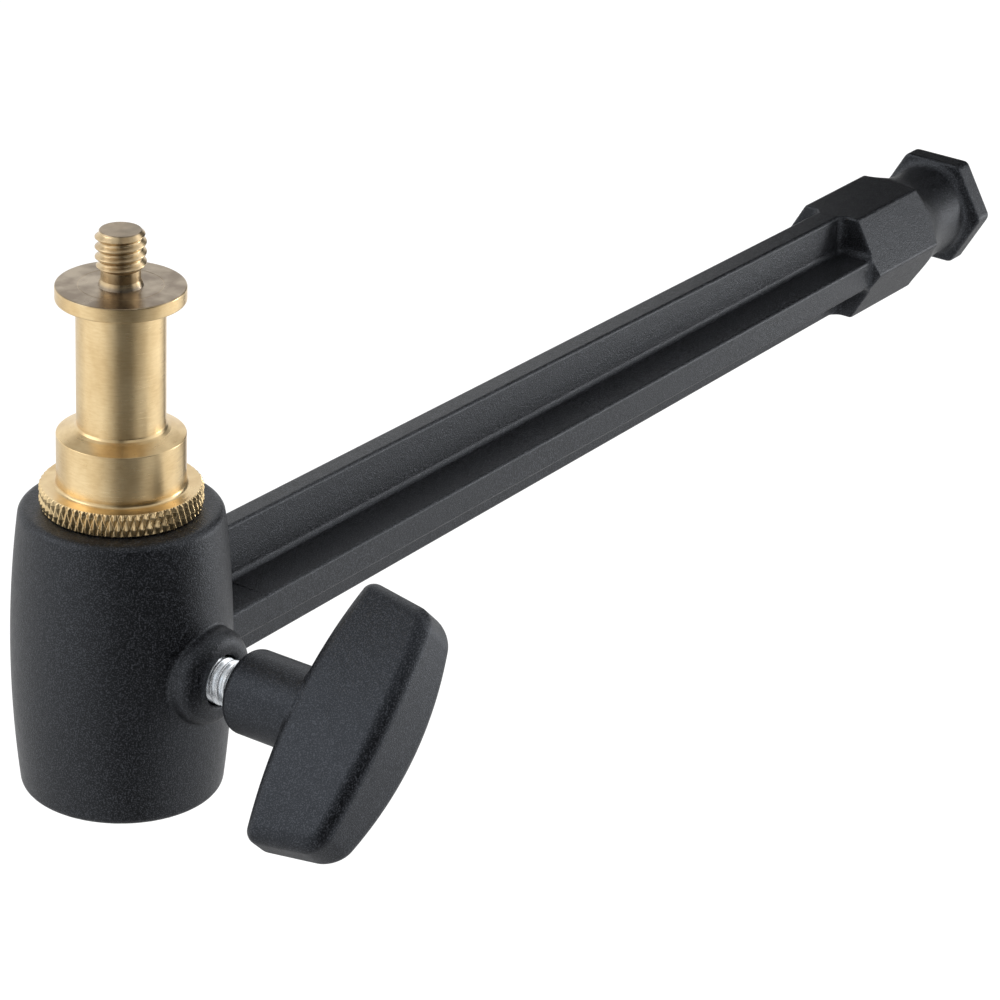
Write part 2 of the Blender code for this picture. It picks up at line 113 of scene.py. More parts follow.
@dataclass
class Shell:
    """Patches, each of points, quads and normals, that add up to one mesh."""

    patches: list[tuple[Array, Index, Array]] = field(default_factory=list)
    count: int = 0

    def add(self, points: Array, quads: Index, normals: Array) -> None:
        """Adds a patch.

        Args:
            points: One row a point, in millimetres.
            quads: Four indices a row, counted from the patch's own first point.
            normals: One row a point, of any length.
        """
        length = np.maximum(np.linalg.norm(normals, axis=1, keepdims=True), 1e-12)
        self.patches.append((points * MM, quads + self.count, normals / length))
        self.count += len(points)

    def add_rings(self, rows: Array) -> None:
        """Adds a closed body given as rings of points, its first and last ring filled in.

        A normal is the mean of the faces round its point, by area, without the two fillings.
        Each filling is a ladder of quads between the ring's two halves.

        Args:
            rows: Points as (ring, place, 3), with outward to the right of the way rings run.
        """
        count, across = rows.shape[:2]
        points = rows.reshape(-1, 3)
        index = np.arange(count * across).reshape(count, across)
        after = np.roll(index, -1, axis=1)
        quads = np.stack([index[:-1], after[:-1], after[1:], index[1:]], axis=-1).reshape(-1, 4)
        corners = points[quads]
        cross = np.cross(corners[:, 2] - corners[:, 0], corners[:, 3] - corners[:, 1])
        normals = np.zeros_like(points)
        for turn in range(4):
            np.add.at(normals, quads[:, turn], cross)
        rung = np.arange(across // 2 - 1)
        ladder = np.stack([rung, rung + 1, across - 2 - rung, across - 1 - rung], axis=-1)
        ends = [index[0][ladder[:, ::-1]], index[-1][ladder]]
        self.add(points, np.concatenate([quads, *ends]), normals)

    def build(self, name: str) -> Item:
        """Makes one smooth mesh object, in metres, in the part's frame.

        Args:
            name: The object's name.

        Returns:
            The new object.
        """
        points, quads, normals = (np.concatenate(part) for part in zip(*self.patches))
        mesh = bpy.data.meshes.new(name)
        mesh.vertices.add(len(points))
        mesh.vertices.foreach_set("co", points.astype(np.float32).ravel())
        mesh.loops.add(quads.size)
        mesh.loops.foreach_set("vertex_index", quads.astype(np.int32).ravel())
        mesh.polygons.add(len(quads))
        mesh.polygons.foreach_set("loop_start", np.arange(0, quads.size, 4, dtype=np.int32))
        mesh.update(calc_edges=True)
        mesh.polygons.foreach_set("use_smooth", np.ones(len(quads), dtype=bool))
        mesh.normals_split_custom_set_from_vertices(normals.tolist())
        item = bpy.data.objects.new(name, mesh)
        bpy.context.scene.collection.objects.link(item)
        LOG.info("%s: %d quads", name, len(quads))
        return item


@dataclass(frozen=True)
class SurfaceNet:
    """Turns a distance field into quads: one point in each grid cell that the surface crosses."""

    cell: Triple
    low: Triple
    high: Triple
    pulls: int = 4

    def add_to(self, shell: Shell, distance: Field) -> None:
        """Adds the field's surface, which has to lie inside the box.

        A cell counts where its eight corners lie on both sides. Its point starts at the mean of
        the crossings on its edges and is pulled onto the surface along the field's slope, which
        also gives the normal. Each grid edge that crosses the surface makes one quad from the
        four cells round it.

        Args:
            shell: Where the quads go.
            distance: Signed distance for arrays of x, y and z.
        """
        spans = zip(self.low, self.high, self.cell)
        axes = [np.arange(low, high + step, step) for low, high, step in spans]
        values = distance(*np.meshgrid(*axes, indexing="ij", sparse=True))
        inside = values < 0
        shape = tuple(size - 1 for size in values.shape)
        corners = [(i, j, k) for i in (0, 1) for j in (0, 1) for k in (0, 1)]

        def part(source: Array, corner: tuple[int, int, int]) -> Array:
            """The values at one corner of every cell."""
            return source[tuple(slice(c, c + n) for c, n in zip(corner, shape))]

        held = sum(part(inside, c).astype(np.int8) for c in corners)
        active = (held > 0) & (held < 8)
        cells = np.argwhere(active)
        index = np.full(shape, -1)
        index[active] = np.arange(len(cells))
        total = np.zeros((len(cells), 3))
        number = np.zeros(len(cells))
        for edge in np.eye(3, dtype=int):
            for corner in corners:
                if edge @ corner:
                    continue
                start = cells + corner
                a, b = values[tuple(start.T)], values[tuple((start + edge).T)]
                crossed = (a < 0) != (b < 0)
                share = np.where(crossed, a / np.where(crossed, a - b, 1), 0)
                total += (start + share[:, None] * edge) * crossed[:, None]
                number += crossed
        spot = total / number[:, None]
        points = np.stack([axes[i][0] + spot[:, i] * self.cell[i] for i in range(3)], axis=1)
        longest = max(self.cell)
        for _ in range(self.pulls):
            slope = slope_of(distance, points)
            reach = distance(*points.T) / np.maximum((slope**2).sum(axis=1), 1e-6)
            step = np.clip(reach, -longest, longest)
            points = points - slope * step[:, None]
        shell.add(points, self.quads_of(inside, index), slope_of(distance, points))

    @staticmethod
    def quads_of(inside: NDArray[np.bool_], index: Index) -> Index:
        """Quads across every grid edge whose ends lie on different sides.

        Args:
            inside: Whether each grid point is inside the body.
            index: The point number of each cell, or -1.

        Returns:
            Four point numbers a row, facing outward.
        """
        found = []
        for axis in range(3):
            one, two = [a for a in range(3) if a != axis]
            ends = np.moveaxis(inside, (axis, one, two), (0, 1, 2))
            cells = np.moveaxis(index, (axis, one, two), (0, 1, 2))
            low, high = ends[:-1, 1:-1, 1:-1], ends[1:, 1:-1, 1:-1]
            near, far = cells[:, :-1], cells[:, 1:]
            around = np.stack([near[..., :-1], far[..., :-1], far[..., 1:], near[..., 1:]], axis=-1)
            way = -1 if axis == 1 else 1
            found += [around[low & ~high][:, ::way], around[high & ~low][:, ::-way]]
        return np.concatenate(found)


def slope_of(distance: Field, points: Array, step: float = 0.02) -> Array:
    """The field's slope at each point, from differences over a short step.

    Args:
        distance: Signed distance for arrays of x, y and z.
        points: One row a point.
        step: Half the length of the difference, in millimetres.

    Returns:
        One row a point, pointing outward.
    """
    slope = np.empty_like(points)
    for axis, shift in enumerate(np.eye(3) * step):
        ahead, behind = distance(*(points + shift).T), distance(*(points - shift).T)
        slope[:, axis] = (ahead - behind) / (2 * step)
    return slope


@dataclass(frozen=True)
class Casting:
    """The arm casting as a distance field, with the fillets and rounds of a real casting.

    The upright fin and the level ledge change evenly from their first size, at the socket's
    axis, to their second one, at the pin's shoulder.
    """

    socket_height: float = 38.2
    mid_radius: float = 13.9
    end_radius: float = 12.7
    rim_round: float = 1.0
    bore_radius: float = 8.15
    bore_chamfer: float = 0.6
    boss_radius: float = 6.3
    boss_start: float = 9.0
    boss_reach: float = 16.3
    boss_round: float = 2.2
    boss_fillet: float = 0.35
    hole_radius: float = 3.3
    bore_edge: float = 0.12
    hole_edge: float = 0.25
    fins_start: float = 9.0
    fins_end: float = -30.0
    fins_fillet: float = 0.35
    fin_height: Span = (19.5, 16.2)
    fin_thickness: Span = (3.0, 3.7)
    ledge_width: Span = (16.7, 15.6)
    ledge_thickness: Span = (4.2, 4.6)
    edge_round: float = 0.5
    root_fillet: float = 0.9
    draft: float = 0.05
    shoulder_fillet: float = 1.4
    flats: float = 16.3
    flat_corner: float = 0.5
    head_corner: float = 1.2
    head_corner_start: float = -5.0
    shoulder_corner: float = 0.35
    shoulder_slack: float = 2.5
    end_round: float = 1.0
    turning_edge: float = 0.45
    waist_start: float = -16.6
    head_start: float = -3.9
    waist_radius: float = 6.9
    taper_length: float = 10.0
    head_fillet: float = 1.3
    rows_start: float = -183.4
    rows_end: float = -37.4
    lap: float = 0.8
    dip: float = 0.08
    pulls: int = 6

    def barrel(self, x: Array, y: Array, z: Array) -> Array:
        """The bowed socket with rounded rims: within a radius that falls with height squared.

        Args:
            x, y, z: Coordinates.

        Returns:
            Signed distance.
        """
        half = self.socket_height / 2
        bow = self.mid_radius - self.end_radius
        across = np.hypot(x - SOCKET_X, y)
        side = across - (self.mid_radius - bow * (z / half) ** 2)
        side = side / np.sqrt(1 + (2 * bow * z / half**2) ** 2)
        return round_meet(side, np.abs(z) - half, self.rim_round)

    def boss(self, x: Array, y: Array, z: Array) -> Array:
        """Signed distance to a short cylinder along -Y with a rounded rim."""
        side = np.maximum(np.hypot(x - SOCKET_X, z) - self.boss_radius, y + self.boss_start)
        return round_meet(side, -y - self.boss_reach, self.boss_round)

    def halves(self, x: Array) -> list[Array]:
        """Half the height and thickness of the fin, and half the width and thickness of the ledge.

        Args:
            x: Places along the arm.

        Returns:
            Four arrays like x.
        """
        part = (x - SOCKET_X) / (SHOULDER_X - SOCKET_X)
        sizes = (self.fin_height, self.fin_thickness, self.ledge_width, self.ledge_thickness)
        return [(root + (tip - root) * part) / 2 for root, tip in sizes]

    def fins(self, x: Array, y: Array, z: Array) -> Array:
        """The crossed fin and ledge, with drafted sides and a fillet between them.

        Args:
            x, y, z: Coordinates.

        Returns:
            Signed distance.
        """
        height, fin, width, ledge = self.halves(x)
        across, up = np.abs(y), np.abs(z)
        thick = fin + self.draft * (height - up)
        upright = round_meet(across - thick, up - height, self.edge_round)
        level = round_meet(up - ledge, across - width, self.edge_round)
        return round_join(upright, level, self.root_fillet)

    def hexagon(self, y: Array, z: Array, corner: Array | float) -> Array:
        """Distance to an endless hexagonal bar, flats up and down, with rounded corners.

        Args:
            y, z: Coordinates.
            corner: Radius of the rounded corners.

        Returns:
            Signed distance.
        """
        apothem = self.flats / 2 - corner
        across, up = np.abs(y), np.abs(z)
        fold = 2 * np.minimum(up / 2 - across * math.sqrt(3) / 2, 0)
        across = across + fold * math.sqrt(3) / 2
        up = up - fold / 2
        reach = apothem / math.sqrt(3)
        along = across - np.clip(across, -reach, reach)
        return np.hypot(along, up - apothem) * np.sign(up - apothem) - corner

    def turning(self, x: Array, y: Array, z: Array) -> Array:
        """What the lathe took off the waist: a quarter ellipse in section, then a cylinder.

        Args:
            x, y, z: Coordinates.

        Returns:
            Signed distance.
        """
        corner = self.flats / math.sqrt(3)
        depth = corner - self.waist_radius
        along = np.maximum(self.waist_start + self.taper_length - x, 0) / self.taper_length
        inward = np.maximum(corner - np.hypot(y, z), 0) / depth
        reach = np.hypot(along, inward)
        slope = np.hypot(along / self.taper_length, inward / depth)
        scale = np.where(reach > 1e-6, reach / np.maximum(slope, 1e-9), depth)
        return round_meet((reach - 1) * scale, x - self.head_start, self.head_fillet)

    def pin(self, x: Array, y: Array, z: Array) -> Array:
        """The hexagonal pin with rounded ends, less the turned waist.

        Args:
            x, y, z: Coordinates.

        Returns:
            Signed distance.
        """
        corner = np.where(x > self.head_corner_start, self.head_corner, self.flat_corner)
        bar = self.hexagon(y, z, corner)
        body = round_meet(bar, SHOULDER_X - x, self.shoulder_corner)
        body = round_meet(body, x, self.end_round)
        return round_meet(body, -self.turning(x, y, z), self.turning_edge)

    def socket(self, x: Array, y: Array, z: Array) -> Array:
        """The socket end: barrel, boss and the roots of the fins, less bore and screw hole.

        Args:
            x, y, z: Coordinates.

        Returns:
            Signed distance.
        """
        across = np.hypot(x - SOCKET_X, y)
        body = round_join(self.barrel(x, y, z), self.boss(x, y, z), self.boss_fillet)
        roots = np.maximum(self.fins(x, y, z), SOCKET_X + self.fins_start - x)
        body = round_join(body, roots, self.fins_fillet)
        bore = across - self.bore_radius
        mouth = self.socket_height / 2 - np.abs(z) + self.bore_chamfer
        cone = (bore - (self.bore_chamfer * 2 - mouth)) * math.sqrt(0.5)
        body = round_meet(body, -np.minimum(bore, cone), self.bore_edge)
        hole = np.maximum(np.hypot(x - SOCKET_X, z) - self.hole_radius, y)
        return round_meet(body, -hole, self.hole_edge)

    def tip(self, x: Array, y: Array, z: Array) -> Array:
        """The pin end: pin and fin ends, with a fillet that stays inside the hexagon.

        Args:
            x, y, z: Coordinates.

        Returns:
            Signed distance.
        """
        fins = np.maximum(self.fins(x, y, z), x - self.fins_end)
        body = round_join(self.pin(x, y, z), fins, self.shoulder_fillet)
        slack = np.maximum(SHOULDER_X - self.shoulder_slack - x, 0) * 2
        return np.maximum(body, self.hexagon(y, z, self.shoulder_corner) - slack)

    def build(self) -> Item:
        """The whole casting: nets at both ends, and straight rows along the fins between.

        Each net runs on into the rows by the lap, where it sinks below them by the dip.

        Returns:
            The casting's visual body.
        """
        first, last = self.rows_start, self.rows_end

        def socket_end(x: Array, y: Array, z: Array) -> Array:
            """The socket's field, sunk along its lap and cut off at the lap's end."""
            sunk = self.dip * ramp(x, first - self.lap, first)
            return np.maximum(self.socket(x, y, z) + sunk, x - first)

        def pin_end(x: Array, y: Array, z: Array) -> Array:
            """The tip's field, sunk along its lap and cut off at the lap's end."""
            sunk = self.dip * ramp(x, last + self.lap, last)
            return np.maximum(self.tip(x, y, z) + sunk, last - x)

        shell = Shell()
        low, high = (-217.0, -17.2, -19.9), (first + self.lap, 14.8, 19.9)
        SurfaceNet((0.42, 0.4, 0.4), low, high).add_to(shell, socket_end)
        low, high = (last - 0.7, -10.2, -8.9), (0.7, 10.2, 8.9)
        SurfaceNet((0.35, 0.35, 0.35), low, high).add_to(shell, pin_end)
        shell.add_rings(self.fin_rows(np.linspace(first - self.lap, last + self.lap, 9)))
        return shell.build("arm_casting_skin")

    def fin_rows(self, stations: Array) -> Array:
        """Rings of the crossed fins at each station.

        The ring is a quarter outline, mirrored: a rounded edge, a small inner fillet and a second
        rounded edge, each an arc whose centre follows the taper. Each point is then pulled onto
        the fins' own field, which adds the draft.

        Args:
            stations: Places along X.

        Returns:
            Points as (station, place round the ring, 3).
        """
        height, fin, width, ledge = self.halves(stations[:, None])
        edge, inner = self.edge_round, self.root_fillet
        turn = np.radians(np.linspace(0, 90, 9))
        back = np.radians(np.linspace(270, 180, 7))
        y = [width - edge + edge * np.cos(turn), fin + inner + inner * np.cos(back)]
        y.append(fin - edge + edge * np.cos(turn))
        z = [ledge - edge + edge * np.sin(turn), ledge + inner + inner * np.sin(back)]
        z.append(height - edge + edge * np.sin(turn))
        across, up = np.concatenate(y, axis=1), np.concatenate(z, axis=1)
        across = np.concatenate([across, -across[:, ::-1], -across, across[:, ::-1]], axis=1)
        up = np.concatenate([up, up[:, ::-1], -up, -up[:, ::-1]], axis=1)
        x = np.broadcast_to(stations[:, None], across.shape)
        points = np.stack([x, across, up], axis=-1).reshape(-1, 3)
        for _ in range(self.pulls):
            slope = slope_of(self.fins, points) * (0, 1, 1)
            points = points - slope * (self.fins(*points.T) / (slope**2).sum(axis=1))[:, None]
        return points.reshape(*across.shape, 3)


@dataclass(frozen=True)
class Thread:
    """A right-hand V thread on a rod, as a radius for every angle and height.

    Over half a pitch the flank falls by steep, from height, which leaves the crest flat. Near
    the root it is lifted by soft, over a part of its rise given by reach, which rounds it.
    """

    crest: float
    root: float
    pitch: float
    phase: float = 0.0
    height: float = 1.16
    steep: float = 1.36
    soft: float = 0.08
    reach: float = 0.12

    def radius(self, angle: Array, height: Array) -> Array:
        """A wave of straight flanks, cut flat at the crest and rounded at the root.

        Args:
            angle: Angle round the rod, in radians.
            height: Height along the rod, in millimetres.

        Returns:
            The radius there.
        """
        turn = height / self.pitch - angle / (2 * math.pi) + self.phase
        flank = 2 * np.abs(turn - np.round(turn))
        rise = np.clip(self.height - flank * self.steep, 0, 1)
        rise = rise + self.soft * np.exp(-((rise / self.reach) ** 2))
        return self.root + (self.crest - self.root) * np.minimum(rise, 1)


@dataclass(frozen=True)
class Knurl:
    """A diamond knurl: two crossed families of V grooves round a ring.

    The waves are steepened a little, then cut off at low and high: flat grooves, blunt tips.
    """

    teeth: int = 62
    tip: float = 10.2
    depth: float = 0.46
    top: float = 22.3
    first: float = 0.7
    row: float = 1.37
    steep: float = 1.08
    low: float = 0.05
    high: float = 0.97

    def radius(self, angle: Array, height: Array) -> Array:
        """The lower of two crossed zigzag waves at each place.

        Args:
            angle: Angle round the ring, in radians.
            height: Height, in millimetres.

        Returns:
            The radius there.
        """
        around = angle * self.teeth / (2 * math.pi)
        down = (self.top - self.first - height) / (2 * self.row)
        waves = [1 - 2 * np.abs(u - np.round(u)) for u in (around + down, around - down)]
        rise = np.minimum(*waves)
        return self.tip - self.depth * (1 - np.clip(rise * self.steep, self.low, self.high))


@dataclass
class Lathe:
    """A turned outline: corners joined by straight lines and rounded by arcs.

    A corner is a radius, a height and the radius of its arc. The first and last stay sharp.
    An arc has one point more than it has steps, and takes less than half of a straight line.
    """

    corners: list[Triple]
    steps: int = 5
    share: float = 0.49
    rows: list[Span] = field(default_factory=list)

    def __post_init__(self) -> None:
        """Lays rows, each a radius and a height, along the corners."""
        spots = np.array([c[:2] for c in self.corners])
        for index, (radius, height, rounding) in enumerate(self.corners):
            if rounding <= 0 or index in (0, len(spots) - 1):
                self.rows.append((radius, height))
                continue
            before = spots[index - 1] - spots[index]
            after = spots[index + 1] - spots[index]
            room = min(np.linalg.norm(before), np.linalg.norm(after)) * self.share
            before, after = before / np.linalg.norm(before), after / np.linalg.norm(after)
            half = math.acos(float(np.clip(before @ after, -1, 1))) / 2
            cut = min(rounding / math.tan(half), room)
            for t in np.linspace(0, 1, self.steps + 1):
                bend = (1 - t) ** 2 * cut * before + t**2 * cut * after
                self.rows.append(tuple(spots[index] + bend))

    def fine(self, low: float, high: float, step: float) -> None:
        """Splits the outline between two heights into short rows.

        Args:
            low: Lowest height that is split.
            high: Highest height that is split.
            step: Longest row.
        """
        made = [self.rows[0]]
        for (r0, h0), (r1, h1) in zip(self.rows, self.rows[1:]):
            middle = (h0 + h1) / 2
            count = 1
            if low <= middle <= high:
                count = max(1, math.ceil(math.hypot(r1 - r0, h1 - h0) / step))
            shares = np.linspace(0, 1, count + 1)[1:]
            made += [(r0 + (r1 - r0) * t, h0 + (h1 - h0) * t) for t in shares]
        self.rows = made

    def grid(self, around: int) -> Turned:
        """Angle, radius and height of every point, each as (row, column).

        Args:
            around: Points round each row.

        Returns:
            Three arrays of the same shape.
        """
        angle = np.linspace(0, 2 * math.pi, around, endpoint=False)
        rows = np.repeat(np.array(self.rows)[:, None], around, axis=1)
        return np.broadcast_to(angle, rows.shape[:2]), rows[..., 0], rows[..., 1]


@dataclass(frozen=True)
class Spigot:
    """The turned brass spigot, axis along Z, heights from the arm's axis."""

    stud: Thread = Thread(crest=3.13, root=2.55, pitch=1.27, phase=0.46)
    knurl: Knurl = Knurl()
    around: int = 144
    collar_around: int = 216
    tooth_around: int = 14
    thread_start: float = 50.45
    thread_end: float = 55.39

    def build(self) -> Item:
        """Shank, upper body, knurled ring and stud as closed patches of one mesh.

        Returns:
            The spigot's visual body.
        """
        shell = Shell()
        for angle, radius, height in (self.shank(), self.upper(), self.ring(), self.thread()):
            x = SOCKET_X + radius * np.cos(angle)
            shell.add_rings(np.stack([x, radius * np.sin(angle), height], axis=-1))
        return shell.build("spigot_skin")

    def shank(self) -> Turned:
        """The shank with its groove, up into the ring.

        Returns:
            Its angles, radii and heights.
        """
        outline = [(0.6, -12.6, 0), (7.1, -12.6, 0.2), (7.9, -11.8, 0.2), (7.9, -3.75, 0.1)]
        outline += [(6.9, -2.75, 0.2), (6.9, 2.75, 0.2), (7.9, 3.75, 0.1), (7.9, 20.0, 0)]
        return Lathe(outline).grid(self.around)

    def upper(self) -> Turned:
        """The step on the ring, then collar, cone, neck and flange with its centre mark.

        Returns:
            Its angles, radii and heights.
        """
        outline = [(9.4, 21.9, 0), (9.45, 22.17, 0), (9.35, 22.18, 0), (9.15, 22.2, 0)]
        outline += [(8.0, 22.2, 0.55), (8.0, 28.9, 0.16), (6.1, 29.68, 0.15), (5.72, 29.9, 0.1)]
        outline += [(5.5, 30.2, 0.2), (5.5, 45.95, 0.5), (5.1, 46.25, 0.15), (5.9, 46.45, 0.2)]
        outline += [(8.0, 46.45, 0.22), (8.0, 48.3, 0.2), (5.28, 48.3, 0.03)]
        outline += [(5.2, 48.27, 0.03), (5.12, 48.3, 0.03), (2.6, 48.3, 0)]
        return Lathe(outline).grid(self.collar_around)

    def ring(self) -> Turned:
        """The knurled ring, its tips cut off by a small chamfer at both edges.

        Returns:
            Its angles, radii and heights.
        """
        outline = [(7.4, 19.25, 0), (9.8, 19.25, 0.08), (10.3, 19.6, 0.05), (10.3, 21.8, 0.05)]
        outline += [(9.8, 22.2, 0.06), (9.25, 22.2, 0), (9.2, 22.1, 0)]
        lathe = Lathe(outline, steps=3)
        lathe.fine(19.26, 22.19, 0.1)
        angle, radius, height = lathe.grid(self.knurl.teeth * self.tooth_around)
        return angle, np.minimum(radius, self.knurl.radius(angle, height)), height

    def thread(self) -> Turned:
        """The stud: bead at the foot, plain relief, thread with its run-out and the tip.

        Returns:
            Its angles, radii and heights.
        """
        outline = [(2.9, 48.27, 0), (2.78, 48.32, 0.04), (2.45, 49.15, 0.08), (2.43, 50.5, 0.1)]
        outline += [(3.13, 50.95, 0.1), (3.13, 54.75, 0.1), (2.5, 55.4, 0.06), (0.6, 55.4, 0)]
        lathe = Lathe(outline)
        lathe.fine(50.4, 55.3, 0.06)
        angle, radius, height = lathe.grid(self.around)
        threaded = (height > self.thread_start) & (height < self.thread_end)
        wave = self.stud.radius(angle, height)
        return angle, np.where(threaded, np.minimum(radius, wave), radius), height


@dataclass(frozen=True)
class ClampScrew:
    """The zinc screw along -Y, threaded where it shows and plain inside the knob."""

    thread: Thread = Thread(crest=3.0, root=2.45, pitch=1.0)
    thread_start: float = 9.55
    thread_end: float = 20.2
    around: int = 128

    def build(self) -> Item:
        """The screw from behind the pad to its end in the knob.

        Returns:
            The screw's visual body.
        """
        outline = [(0.6, 9.5, 0), (2.6, 9.5, 0.1), (3.0, 9.9, 0.1)]
        outline += [(3.0, self.thread_end, 0), (3.0, 31.8, 0), (0.6, 31.8, 0)]
        lathe = Lathe(outline)
        lathe.fine(9.6, 20.3, 0.06)
        angle, radius, height = lathe.grid(self.around)
        threaded = (height > self.thread_start) & (height < self.thread_end)
        wave = self.thread.radius(angle, height)
        radius = np.where(threaded, np.minimum(radius, wave), radius)
        shell = Shell()
        x = SOCKET_X + radius * np.cos(angle)
        shell.add_rings(np.stack([x, -height, radius * np.sin(angle)], axis=-1))
        return shell.build("knob_screw_skin")


@dataclass(frozen=True)
class Knob:
    """The wing knob as a distance field: a round shank and a lens-shaped blade."""

    shank_reach: float = 19.8
    shank_radius: float = 5.45
    shank_round: float = 1.2
    near: float = 29.4
    depth: float = 13.9
    near_half: float = 17.9
    far_half: float = 15.9
    near_bow: float = 1.0
    far_bow: float = 2.4
    mid_half: float = 5.4
    end_half: float = 3.15
    lean: float = 43.5
    far_round: float = 2.6
    near_round: float = 1.5
    face_round: float = 1.9
    waist_start: float = 0.9
    waist_depth: float = 1.5
    shank_end: float = 2.4
    shank_fillet: float = 0.3
    hole_radius: float = 3.03
    hole_end: float = 32.1
    hole_edge: float = 0.15

    def distance(self, x: Array, y: Array, z: Array) -> Array:
        """Blade and shank joined with a small fillet, less the hole for the screw.

        The blade leans from upright. Its half height falls evenly outwards, and its edges and
        faces are parabolas along its height. Inside the blade the shank tapers to its end.

        Args:
            x, y, z: Coordinates.

        Returns:
            Signed distance.
        """
        lean = math.radians(self.lean)
        across = x - SOCKET_X
        along = across * math.sin(lean) + z * math.cos(lean)
        thick = np.abs(across * math.cos(lean) - z * math.sin(lean))
        out = -y
        part = along / self.near_half
        near = self.near + self.near_bow * part**2 - out
        far = out - (self.near + self.depth - self.far_bow * part**2)
        slant = (self.far_half - self.near_half) / self.depth
        half = self.near_half + slant * (out - self.near)
        end = (np.abs(along) - half) / math.hypot(1, slant)
        face = thick - (self.mid_half - (self.mid_half - self.end_half) * part**2)
        outline = round_meet(round_meet(end, far, self.far_round), near, self.near_round)
        blade = round_meet(outline, face, self.face_round)
        radial = np.hypot(across, z)
        taper = np.clip(out - self.near - self.waist_start, 0, self.waist_depth)
        side = radial - (self.shank_radius - taper)
        shank = round_meet(side, self.shank_reach - out, self.shank_round)
        shank = np.maximum(shank, out - self.near - self.shank_end)
        body = round_join(blade, shank, self.shank_fillet)
        hole = np.maximum(radial - self.hole_radius, out - self.hole_end)
        return round_meet(body, -hole, self.hole_edge)

    def build(self) -> Item:
        """The knob's surface as a net.

        Returns:
            The knob's visual body.
        """
        shell = Shell()
        low, high = (SOCKET_X - 18, -44.2, -18), (SOCKET_X + 18, -19.2, 18)
        SurfaceNet((0.3, 0.3, 0.3), low, high).add_to(shell, self.distance)
        return shell.build("knob_handle_skin")


EVEN = (1.0, 1.0, 1.0)
BLACK, BLACK_GRAIN = (0.0, 0.0, 0.0), (0.037, 0.039, 0.045)
# heights on the spigot, in metres, between which one tone of brass gives way to the next; from the
# flange's edge up the brass carries a painted dark reflection
FLANGE_EDGE, STUD_FOOT, STUD_TIP = (0.04815, 0.0483), (0.0485, 0.0489), (0.05525, 0.05536)


def fill(tree: Tree, node: Node, inputs: Inputs) -> None:
    """Sets a node's inputs.

    Args:
        tree: The node's tree.
        node: The node.
        inputs: Each input's name or place, with its value or the socket that feeds it.
    """
    for name, value in inputs.items():
        if isinstance(value, Socket):
            tree.links.new(value, node.inputs[name])
        else:
            node.inputs[name].default_value = value


def add_node(tree: Tree, kind: str, inputs: Inputs) -> Node:
    """Adds a shader node.

    Args:
        tree: The tree that it goes into.
        kind: Its type, without ShaderNode.
        inputs: What its inputs get.

    Returns:
        The new node.
    """
    node = tree.nodes.new("ShaderNode" + kind)
    fill(tree, node, inputs)
    return node


def map_range(tree: Tree, value: Value, old: Span, new: Span) -> Socket:
    """Maps a value evenly from an old range onto a new one, and no further."""
    ends = {"From Min": old[0], "From Max": old[1], "To Min": new[0], "To Max": new[1]}
    return add_node(tree, "MapRange", {**ends, "Value": value}).outputs["Result"]


@dataclass(frozen=True)
class Finish:
    """The uniform values of a finish, before any grain is added."""

    name: str
    colour: Triple
    roughness: float
    metallic: float = 0.0
    specular: float = 0.5
    anisotropic: float = 0.0
    gloss_tint: Triple = EVEN

    def material(self) -> Material:
        """A Principled material with this finish's values.

        Returns:
            The new material.
        """
        material = bpy.data.materials.new(self.name)
        material.use_nodes = True
        tree = material.node_tree
        values = {
            "Base Color": (*self.colour, 1),
            "Roughness": self.roughness,
            "Metallic": self.metallic,
            "Specular IOR Level": self.specular,
            "Anisotropic": self.anisotropic,
            "Anisotropic Rotation": 0.25 if self.anisotropic else 0.0,
            "Specular Tint": (*self.gloss_tint, 1),
        }
        fill(tree, tree.nodes["Principled BSDF"], values)
        return material


